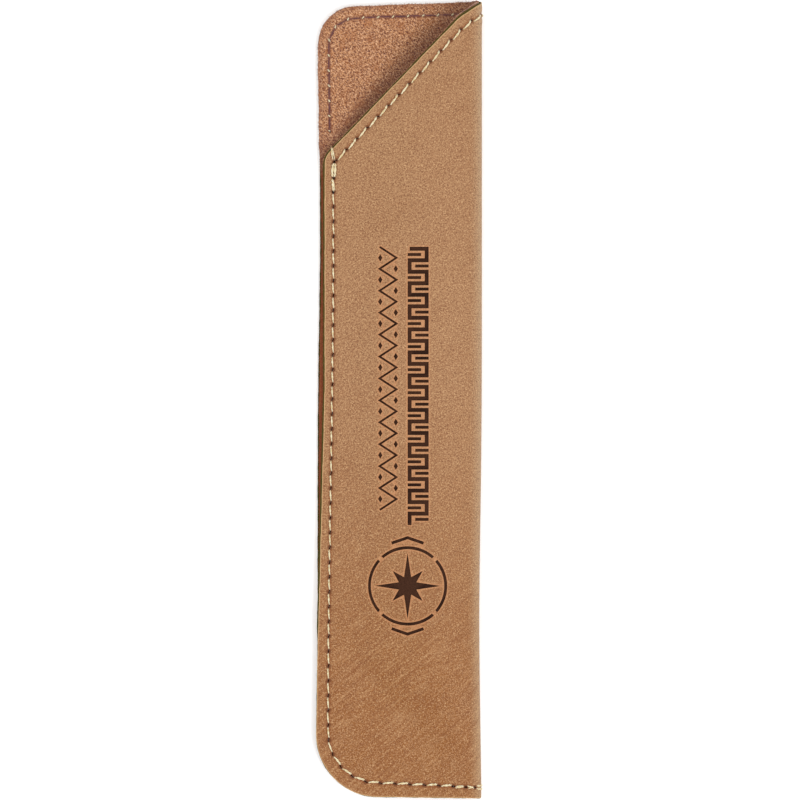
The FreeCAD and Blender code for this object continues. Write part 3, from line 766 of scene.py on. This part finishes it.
LOW_ROW = -73.0    # below this the side seam has turned the corner
needle_hem = steps(hem_holes)
front_hem = [pair for pair in needle_hem if pair[0][0] > 0]
back_hem = [pair for pair in needle_hem if pair[0][0] <= 0]
down = [pair for pair in steps(side_holes) if pair[1][1] > LOW_ROW]
along_bottom = [pair for pair in steps(side_holes) if pair[1][1] <= LOW_ROW]
side_needle = joined("side_needle_stitches", [
    sew("side_row", down, swell=-0.45, bow=0.06, slant=0.18, inset=0.46),
    sew("bottom_row", along_bottom, swell=0.7, bow=-0.12, slant=0.28, inset=0.50, slim=1.1),
])
side_bobbin = sew("side_bobbin_stitches", steps(back_holes), top=0.06)
mouth_needle = joined("mouth_needle_stitches", [
    sew("front_hem", front_hem, swell=0.9, bow=0.18, slant=0.32, inset=0.32),
    sew("flap_hem", back_hem, leg=1.24, top=0.06, inset=0.12),
])
mouth_bobbin = sew("mouth_bobbin_stitches", needle_hem[1:], face=WALL, top=-0.03, leg=0.3,
                   inset=0.22, slim=0.8)
tack = steps(top_tack)
top_backtack = joined("top_backtack_stitches", [
    sew("first_left", tack[:1], leg=1.0, shift=0.02, bow=0.10, slant=-0.12, slim=0.8),
    sew("first_right", tack[:1], leg=1.0, shift=-0.06, bow=-0.12, slant=0.16, slim=0.7),
    sew("second_left", tack[1:2], shift=0.09, bow=0.16, slant=-0.05, inset=0.3, slim=1.45),
    sew("second_right", tack[1:2], shift=-0.13, bow=-0.16, slant=0.05, inset=0.3, slim=1.45),
    sew("third_left", tack[2:], shift=0.14, slant=0.26, inset=0.2, slim=1.1),
    sew("third_right", tack[2:], shift=-0.08, slant=0.34, inset=0.3, slim=0.8),
])
tack = steps(bottom_tack)
last = bottom_tack[-1]
bottom_backtack = joined("bottom_backtack_stitches", [
    sew("low_left", tack[:1], shift=0.10, slant=0.30, inset=0.5),
    sew("low_right", tack[:1], shift=-0.12, slant=0.20, inset=0.6, slim=0.8),
    sew("next_left", tack[1:], shift=-0.06, slant=-0.30, inset=0.4),
    sew("next_right", tack[1:], shift=0.10, slant=0.34, inset=0.6, slim=0.9),
    sew("wrap_low", [(last, last * (-1, 1))], shift=0.2, bow=0.14, slant=0.0),
    sew("wrap_high", [(last, last * (-1, 1))], shift=-0.2, bow=-0.14, slant=0.0),
])
bpy.data.objects.remove(strand)

# %% [markdown]
# ## Finishes
# Materials are node trees.  Writing the maths as Python expressions keeps them readable: the
# class below wraps one wire, and adding or multiplying wires adds the Math nodes.  Every other
# node comes from its `node` method.

# %% A wire of a node tree
class Wire:
    """A value on one wire of a material."""

    def __init__(self, tree, socket=None):
        self.tree, self.socket = tree, socket

    def node(self, kind, settings=None, inputs=None, output=0):
        """Adds a node: its settings first, then what goes into its sockets."""
        made = self.tree.nodes.new(kind)
        for key, value in (settings or {}).items():
            setattr(made, key, value)
        for key, value in (inputs or {}).items():
            if isinstance(value, Wire):
                self.tree.links.new(value.socket, made.inputs[key])
            else:
                made.inputs[key].default_value = value
        return Wire(self.tree, made.outputs[output])

    def maths(self, operation, a, b):
        return self.node("ShaderNodeMath", {"operation": operation}, {0: a, 1: b})

    def __add__(self, other):
        return self.maths("ADD", self, other)

    def __sub__(self, other):
        return self.maths("SUBTRACT", self, other)

    def __rsub__(self, other):
        return self.maths("SUBTRACT", other, self)

    def __mul__(self, other):
        return self.maths("MULTIPLY", self, other)

    __radd__, __rmul__ = __add__, __mul__

    def __abs__(self):
        return self.maths("ABSOLUTE", self, 0.0)

    def rise(self, low, high):
        """0 below low, 1 above high (or the other way round), smooth between."""
        return self.node("ShaderNodeMapRange", {"interpolation_type": "SMOOTHSTEP"},
                         {"Value": self, "From Min": low, "From Max": high})

    def tinted(self, colour, share):
        """This colour mixed towards another by share."""
        return self.node("ShaderNodeMix", {"data_type": "RGBA"}, {0: share, 6: self, 7: colour}, 2)

    def drawn_out(self, x, y, turn=0.0):
        """These coordinates turned back by turn and then multiplied, so that what is drawn with
        them is stretched along a slanting line."""
        turned = self.node("ShaderNodeMapping", {}, {"Vector": self, "Rotation": (0, 0, -turn)})
        return turned.node("ShaderNodeMapping", {}, {"Vector": turned, "Scale": (x, y, 1.0)})

    def noise(self, scale, detail=2.0, roughness=0.5, distortion=0.0):
        return self.node("ShaderNodeTexNoise", {}, {
            "Vector": self, "Scale": scale, "Detail": detail, "Roughness": roughness,
            "Distortion": distortion})

    def attribute(self, name):
        return self.node("ShaderNodeAttribute", {"attribute_name": name}, {}, "Fac")


LIT = 1.39


def srgb(r, g, b):
    """A colour as it looks under the scene's light, from 0 to 255, as the linear colour that
    shaders use.  The light is LIT times as strong as full white, so that much is divided out."""
    return tuple(((c / 255 + 0.055) / 1.055) ** 2.4 / LIT for c in (r, g, b)) + (1.0,)


def finish(name, build, **constants):
    """A material whose build function returns base colour, roughness and height."""
    material = bpy.data.materials.new(name)
    material.use_nodes = True
    tree = material.node_tree
    shader = tree.nodes["Principled BSDF"]
    for key, value in constants.items():
        shader.inputs[key.replace("_", " ")].default_value = value
    colour, roughness, height, depth = build(Wire(tree))
    bump = height.node("ShaderNodeBump", {}, {"Height": height, "Distance": depth * MM,
                                              "Strength": 1.0})
    for key, wire in (("Base Color", colour), ("Roughness", roughness), ("Normal", bump)):
        tree.links.new(wire.socket, shader.inputs[key])
    print(f"{name}: {len(tree.nodes)} nodes")
    return material


# %% [markdown]
# ### Leatherette skin
# A matte printed surface: tan with slow cloudy changes, a fine pebbled grain, and faint streaks
# near the closed end.  It is scorched beside the burning, has painted shade along the seams and
# round the needle holes, and painted highlights on the rounded fold and the cut edges.  The pattern
# reads the `flat` UV map, so it runs on over the fold without stretching.

# %% Leatherette
def flat_mm(start):
    """The flat UV map, as coordinates in millimetres."""
    uv = start.node("ShaderNodeUVMap", {"uv_map": "flat"})
    return uv.node("ShaderNodeVectorMath", {"operation": "MULTIPLY_ADD"},
                   {0: uv, 1: (UV_MM, UV_MM, 1.0), 2: (-UV_MM / 2, -UV_MM / 2, 0.0)})


def leatherette(start):
    p = flat_mm(start)
    y = p.node("ShaderNodeSeparateXYZ", {}, {0: p}, "Y")
    x = p.node("ShaderNodeSeparateXYZ", {}, {0: p}, "X")
    cloud = p.drawn_out(0.5, 1.0, 0.8).noise(0.14, 3.0, 0.6)
    patch = p.drawn_out(0.5, 1.0, 0.7).noise(0.5, 3.0, 0.6, 0.6)
    pebble = p.noise(3.4, 3.0, 0.6, 0.7)
    worm = 1 - abs(p.noise(2.3, 2.0, 0.5, 1.3) - 0.5) * 8.0
    worm = worm.rise(0.0, 1.0)
    speck = p.noise(5.2, 2.0, 0.6)
    streak = p.drawn_out(0.08, 1.0, 0.68).noise(1.7, 4.0, 0.60, 0.12)
    low = y.rise(-12.0, -58.0)
    # the base colour is darker and more orange towards the closed end
    colour = p.node("ShaderNodeMix", {"data_type": "RGBA"},
                    {0: y.rise(-66.0, 10.0), 6: srgb(149, 88, 28), 7: srgb(176, 129, 88)}, 2)
    colour = colour.tinted(srgb(146, 90, 48), cloud.rise(0.45, 0.75) * 0.40)
    colour = colour.tinted(srgb(190, 146, 102), patch.rise(0.50, 0.74) * 0.30)
    # painted highlight on the rounded fold, partly also the lighter, stretched leatherette there
    colour = colour.tinted(srgb(208, 182, 144), abs(x).rise(4.4, 1.0) * 0.60)
    colour = colour.tinted(srgb(218, 174, 128), pebble.rise(0.50, 0.65) * 0.74)
    colour = colour.tinted(srgb(112, 66, 38), pebble.rise(0.50, 0.36) * (0.74 - low * 0.16))
    colour = colour.tinted(srgb(136, 84, 50), worm * 0.40)
    colour = colour.tinted(srgb(98, 56, 34), speck.rise(0.54, 0.68) * 0.52)
    colour = colour.tinted(srgb(230, 187, 134), speck.rise(0.46, 0.32) * 0.52)
    colour = colour.tinted(srgb(132, 76, 36), streak.rise(0.52, 0.70) * (0.04 + low * 0.50))
    colour = colour.tinted(srgb(196, 150, 104), streak.rise(0.47, 0.33) * low * 0.36)
    seam, hole = start.attribute("seam"), start.attribute("hole")
    # painted shade in the shallow valley along each seam
    colour = colour.tinted(srgb(146, 78, 34), seam.rise(0.60, 0.20) * 0.50)
    # painted shade round each needle hole
    colour = colour.tinted(srgb(108, 58, 24), hole.rise(0.70, 0.34) * 0.85)
    edge, burnt = start.attribute("edge"), start.attribute("burnt")
    # painted highlight on the rounded cut edge of the skin
    colour = colour.tinted(srgb(220, 182, 128), edge.rise(0.30, 0.05) * 0.55)
    colour = colour.tinted(srgb(206, 144, 98), burnt.rise(0.42, 0.12) * 0.50)
    roughness = 0.56 + pebble * 0.16 - worm * 0.04
    height = pebble * 0.55 + worm * -0.30 + speck * -0.25
    return colour, roughness, height, 0.055


skin_finish = finish("tan_leatherette", leatherette, Specular_IOR_Level=0.25)

# %% [markdown]
# ### Burnt core
# What the laser leaves is a dark, slightly shiny char; painted shade makes it nearly black against
# the walls of each line.  The same layer shows as a dark olive line at the cut edges, where no
# laser touched it.

# %% Core
def core(start):
    p = flat_mm(start)
    grain = p.noise(3.2, 3.0, 0.6, 0.4)
    edge, burnt = start.attribute("edge"), start.attribute("burnt")
    colour = grain.node("ShaderNodeMix", {"data_type": "RGBA"},
                        {0: grain.rise(0.35, 0.65), 6: srgb(60, 35, 22), 7: srgb(72, 44, 30)}, 2)
    # painted shade: the char is darkened at the foot of each burnt line's walls
    colour = colour.tinted(srgb(34, 17, 10), burnt.rise(0.24, 0.04) * 0.7)
    colour = colour.tinted(srgb(78, 70, 30), edge.rise(1.1, 0.7))
    colour = colour.tinted(srgb(106, 96, 50), edge.rise(1.1, 0.7) * grain.rise(0.5, 0.7) * 0.6)
    return colour, 0.48 + grain * 0.2, grain, 0.06


core_finish = finish("dark_core", core, Specular_IOR_Level=0.05)

# %% [markdown]
# ### Suede lining
# The nap is a mat of short fibres lying every way.  Two noises, one of them stretched, give the
# fibres, a coarser one gives the rubbed patches, and the darkest hollows turn purple-brown.
# Near the cut edge and the seam the nap is crushed and darker.  Painted shade darkens the strip of
# back lining under the front panel's sewn edge, and painted shadow lies beside the mouth's edge.

# %% Suede
def suede(start):
    p = flat_mm(start)
    y = p.node("ShaderNodeSeparateXYZ", {}, {0: p}, "Y")
    fibre = p.noise(3.6, 4.0, 0.62, 0.8)
    comb = p.drawn_out(0.7, 1.3, 0.8).noise(3.1, 3.0, 0.6, 0.7)
    patch = p.noise(0.35, 3.0, 0.6)
    pit = p.noise(3.7, 2.0, 0.6, 0.5)
    edge, seam = start.attribute("edge"), start.attribute("seam")
    mouth = start.attribute("mouth")
    colour = fibre.node("ShaderNodeMix", {"data_type": "RGBA"},
                        {0: fibre.rise(0.42, 0.58), 6: srgb(122, 66, 40),
                         7: srgb(214, 156, 108)}, 2)
    colour = colour.tinted(srgb(240, 188, 146), comb.rise(0.52, 0.60) * 0.78)
    colour = colour.tinted(srgb(116, 58, 36), comb.rise(0.47, 0.34) * 0.60)
    colour = colour.tinted(srgb(164, 96, 48), patch.rise(0.50, 0.66) * 0.40)
    colour = colour.tinted(srgb(78, 36, 46), pit.rise(0.56, 0.63) * 0.86)
    colour = colour.tinted(srgb(112, 62, 52), edge.rise(1.3, 0.2) * 0.30)
    # painted shade on the strip of lining beside the front panel's sewn edge, below the mouth
    colour = colour.tinted(srgb(140, 66, 28), edge.rise(1.6, 0.8) * y.rise(48.0, 44.0) * 0.85)
    colour = colour.tinted(srgb(104, 52, 46), seam.rise(0.60, 0.1) * 0.75)
    # painted shadow of the front panel's mouth edge on the back lining, darkest at the edge
    colour = colour.tinted(srgb(92, 48, 46), mouth.rise(4.4, 0.4) * 0.42)
    return colour, 0.86 + fibre * 0.1, fibre * 0.7 + comb * 0.5 - pit * 0.4, 0.16


suede_finish = finish("suede_nap", suede, Specular_IOR_Level=0.2, Sheen_Weight=0.25,
                      Sheen_Roughness=0.5)

# %% [markdown]
# ### Threads
# The cream thread has a painted highlight towards one end of each strand, and painted orange-brown
# shade where it goes down its hole.  The bobbin thread inside the flap has taken up the lining's
# colour and is red-brown.

# %% Cream and red-brown thread
def thread(light, shade, hole_shade):
    def build(start):
        p = start.node("ShaderNodeTexCoord", {}, {}, "Object")
        fuzz = p.noise(2600.0, 3.0, 0.6)
        along, rise = start.attribute("along"), start.attribute("rise")
        colour = fuzz.node("ShaderNodeMix", {"data_type": "RGBA"},
                           {0: fuzz.rise(0.35, 0.6), 6: shade, 7: light}, 2)
        # painted shade where the strand dips into its hole
        colour = colour.tinted(hole_shade, rise.rise(0.13, -0.08) * 0.88)
        # painted highlight towards one end of each strand
        colour = colour.tinted(light, along.rise(0.35, 0.95) * 0.4)
        return colour, 0.55 + fuzz * 0.2, fuzz, 0.03
    return build


cream_finish = finish("cream_thread", thread(srgb(248, 236, 198), srgb(218, 190, 128),
                                             srgb(134, 78, 34)), Sheen_Weight=0.2)
brown_finish = finish("red_brown_thread", thread(srgb(118, 60, 64), srgb(78, 34, 44),
                                                 srgb(56, 24, 28)))

# %% [markdown]
# ## Telling the frame what each piece is
# Each piece rides on the one rigid body, stands for its CAD node, and takes its finish.

# %% Finishes, slots and replaced nodes
for piece, node, slot, material in (
        (skin_sheet, "outer_leatherette", "leatherette", skin_finish),
        (core_sheet, "dark_core", "core", core_finish),
        (lining_sheet, "suede_lining", "suede", suede_finish),
        (side_needle, "side_seam_needle_thread", "cream_thread", cream_finish),
        (side_bobbin, "side_seam_bobbin_thread", "cream_thread", cream_finish),
        (mouth_needle, "mouth_needle_thread", "cream_thread", cream_finish),
        (mouth_bobbin, "mouth_bobbin_thread", "brown_thread", brown_finish),
        (top_backtack, "seam_top_backtack", "cream_thread", cream_finish),
        (bottom_backtack, "seam_bottom_backtack", "cream_thread", cream_finish)):
    piece.data.materials.clear()
    piece.data.materials.append(material)
    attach(piece, "root")
    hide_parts(node)
    print(f"{piece.name} stands for {node}, {len(piece.data.polygons)} faces")

area_of(skin_line) * MM * MM
area_of(core_line) * MM * MM
area_of(lining_line) * MM * MM

# %% [markdown]
# ## Floor, light and camera
# The floor is a plain near-white plane.  The light is a bright, even surround, with one large
# soft lamp low on the right that shades the mouth and lights the folded edge.  The camera is
# straight above with a very long lens, so that the sleeve shows no perspective.

# %% Floor
def paper(start):
    p = start.node("ShaderNodeTexCoord", {}, {}, "Object")
    grain = p.noise(40.0, 2.0)
    colour = grain.node("ShaderNodeMix", {"data_type": "RGBA"},
                        {0: grain, 6: (0.96, 0.96, 0.96, 1), 7: (0.98, 0.98, 0.98, 1)}, 2)
    return colour, 0.8 + grain * 0.1, grain, 0.01


bpy.ops.object.select_all(action="DESELECT")
bpy.ops.mesh.primitive_plane_add(size=8.0)
floor = bpy.context.object
floor.name = "floor"
floor.data.materials.append(finish("pale_paper", paper, Specular_IOR_Level=0.1))
floor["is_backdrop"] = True

# %% Light and camera
world = bpy.data.worlds.new("surround")
world.use_nodes = True
world.node_tree.nodes["Background"].inputs["Color"].default_value = (1.0, 1.0, 1.0, 1.0)
world.node_tree.nodes["Background"].inputs["Strength"].default_value = 1.06
bpy.context.scene.world = world


def soft_lamp(name, place, size, watts):
    bpy.ops.object.light_add(type="AREA", location=place)
    lamp = bpy.context.object
    lamp.name = name
    lamp.data.size = size
    lamp.data.energy = watts
    lamp.rotation_euler = (-Vector(place)).to_track_quat("-Z", "Y").to_euler()
    return lamp


soft_lamp("key", (0.42, -0.42, 0.90), 0.40, 4.8)
soft_lamp("fill", (-0.5, 0.5, 1.0), 0.8, 3.8)

DISTANCE, FRAMED = 2.4, 0.1594
bpy.ops.object.camera_add(location=(0.0, 0.0, DISTANCE + 0.004), rotation=(0.0, 0.0, 0.0))
camera = bpy.context.object
camera.data.lens = 36.0 * DISTANCE / FRAMED
camera.data.clip_start, camera.data.clip_end = 0.05, 20.0
bpy.context.scene.camera = camera
bpy.context.scene.view_settings.view_transform = "Standard"
print(f"lens {camera.data.lens:.0f} mm at {DISTANCE} m")

# %% Size of the CAD model and of this one
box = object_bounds()
for a, b, c, d in zip(*cad_box, *box):
    print(f"cad {a / MM:.2f} to {b / MM:.2f}, visual {c / MM:.2f} to {d / MM:.2f} mm")
